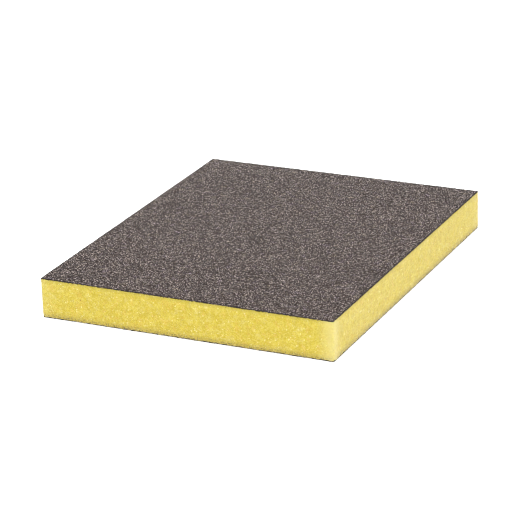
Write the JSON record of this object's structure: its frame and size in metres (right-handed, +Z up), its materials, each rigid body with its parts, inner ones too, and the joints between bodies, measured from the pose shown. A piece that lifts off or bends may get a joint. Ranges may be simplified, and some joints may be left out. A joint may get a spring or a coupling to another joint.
{
  "type": "sanding block",
  "caption": "Flat flexible foam sanding pad with abrasive coating on both large faces and bare foam sides, for hand sanding of flat and gently curved work.",
  "frame": {"origin": "centre of the lower working face, where the pad rests", "axes": "+X along the short side, +Y along the long side, +Z up through the thickness"},
  "size_m": [0.098, 0.12, 0.013],
  "materials": {
    "foam": "matt open-cell polyurethane foam, cut sides",
    "make_coat": "matt flexible resin",
    "grain_layer": "coarse aluminium oxide grain",
    "size_coat": "satin resin film over the grain"
  },
  "bodies": {
    "root": {"foam_core": "foam", "upper_make_coat": "make_coat", "upper_grain_layer": "grain_layer", "upper_size_coat": "size_coat", "lower_make_coat": "make_coat", "lower_grain_layer": "grain_layer", "lower_size_coat": "size_coat"}
  },
  "joints": []
}
